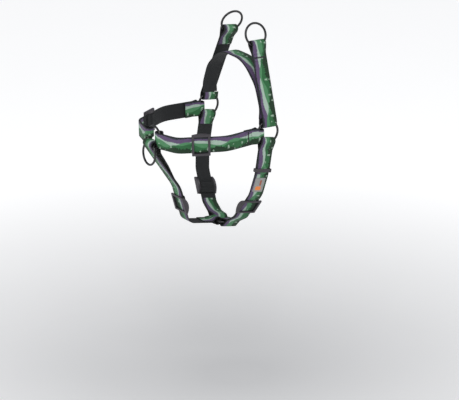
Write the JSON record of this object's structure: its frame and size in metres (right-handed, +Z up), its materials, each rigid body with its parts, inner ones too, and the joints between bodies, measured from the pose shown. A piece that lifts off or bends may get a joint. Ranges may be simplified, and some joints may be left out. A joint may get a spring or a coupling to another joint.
{
  "type": "dog harness",
  "caption": "No pull dog harness of printed flat webbing with a back strap, chest, sternum and girth straps joined by round rings, sliding adjusters and two hinged leash straps.",
  "frame": {"origin": "midway between the centres of the two side rings, on the middle plane of the body", "axes": "-X is the dog's forward, -Y its left, +Z up along the back strap's height"},
  "size_m": [0.201, 0.1872, 0.3338],
  "materials": {
    "webbing": "woven polyester printed with layered hills",
    "ring_steel": "gloss black coated steel",
    "slider_plastic": "moulded acetal",
    "label_cloth": "satin woven label",
    "stitching": "bonded thread"
  },
  "bodies": {
    "harness": {"back_strap": "webbing", "side_ring_left": "ring_steel", "side_ring_right": "ring_steel", "junction_ring": "ring_steel", "belly_ring": "ring_steel", "chest_strap_left": "webbing", "chest_strap_right": "webbing", "chest_tack_left": "stitching", "chest_tack_right": "stitching", "girth_strap_left": "webbing", "girth_strap_right": "webbing", "label": "label_cloth", "sternum_strap": "webbing", "sternum_tack": "stitching"},
    "leash_strap_left": {"leash_strap_left": "webbing", "leash_tack_left": "stitching"},
    "leash_ring_left": {"leash_ring_left": "ring_steel"},
    "leash_strap_right": {"leash_strap_right": "webbing", "leash_tack_right": "stitching"},
    "leash_ring_right": {"leash_ring_right": "ring_steel"},
    "front_leash_ring": {"front_leash_ring": "ring_steel"},
    "chest_slider_left": {"chest_slider_left": "slider_plastic", "chest_slider_tab_left": "webbing"},
    "girth_slider_left": {"girth_slider_left": "slider_plastic", "girth_slider_tab_left": "webbing"},
    "girth_keeper_left": {"girth_keeper_left": "slider_plastic"},
    "chest_slider_right": {"chest_slider_right": "slider_plastic", "chest_slider_tab_right": "webbing"},
    "girth_slider_right": {"girth_slider_right": "slider_plastic", "girth_slider_tab_right": "webbing"},
    "girth_keeper_right": {"girth_keeper_right": "slider_plastic"},
    "sternum_slider": {"sternum_slider": "slider_plastic", "sternum_slider_tab": "webbing"}
  },
  "joints": [
    {"name": "leash_strap_left_swing", "type": "hinge", "parent": "harness", "child": "leash_strap_left", "pos_m": [0.00023, -0.087, 0.0146], "axis": [0.9999, 0, -0.0157], "range_deg": [0, 105]},
    {"name": "leash_ring_left_swing", "type": "hinge", "parent": "leash_strap_left", "child": "leash_ring_left", "pos_m": [0.00207, -0.05273, 0.13172], "axis": [0.9999, 0, -0.0157], "range_deg": [-90, 90]},
    {"name": "leash_strap_right_swing", "type": "hinge", "parent": "harness", "child": "leash_strap_right", "pos_m": [0.00173, 0.087, 0.0145], "axis": [-0.993, 0, 0.1184], "range_deg": [0, 105]},
    {"name": "leash_ring_right_swing", "type": "hinge", "parent": "leash_strap_right", "child": "leash_ring_right", "pos_m": [0.01546, 0.04955, 0.12965], "axis": [-0.993, 0, 0.1184], "range_deg": [-90, 90]},
    {"name": "front_leash_ring_swing", "type": "hinge", "parent": "harness", "child": "front_leash_ring", "pos_m": [-0.1591, 0, -0.0131], "axis": [0, -1, 0], "range_deg": [0, 17]},
    {"name": "chest_slider_left_slide", "type": "slide", "parent": "harness", "child": "chest_slider_left", "axis": [-0.8832, 0.4682, -0.0264], "range_m": [-0.01, 0.01]},
    {"name": "girth_slider_left_slide", "type": "slide", "parent": "harness", "child": "girth_slider_left", "axis": [-0.1306, 0.577, -0.8062], "range_m": [-0.008, 0.008]},
    {"name": "girth_keeper_left_slide", "type": "slide", "parent": "harness", "child": "girth_keeper_left", "axis": [-0.1599, 0, -0.9871], "range_m": [-0.022, 0.002]},
    {"name": "chest_slider_right_slide", "type": "slide", "parent": "harness", "child": "chest_slider_right", "axis": [-0.8832, -0.4682, -0.0264], "range_m": [-0.01, 0.01]},
    {"name": "girth_slider_right_slide", "type": "slide", "parent": "harness", "child": "girth_slider_right", "axis": [-0.1306, -0.577, -0.8062], "range_m": [-0.008, 0.008]},
    {"name": "girth_keeper_right_slide", "type": "slide", "parent": "harness", "child": "girth_keeper_right", "axis": [-0.1599, 0, -0.9871], "range_m": [-0.022, 0.002]},
    {"name": "sternum_slider_slide", "type": "slide", "parent": "harness", "child": "sternum_slider", "axis": [-0.2844, 0, 0.9587], "range_m": [-0.008, 0.008]}
  ]
}
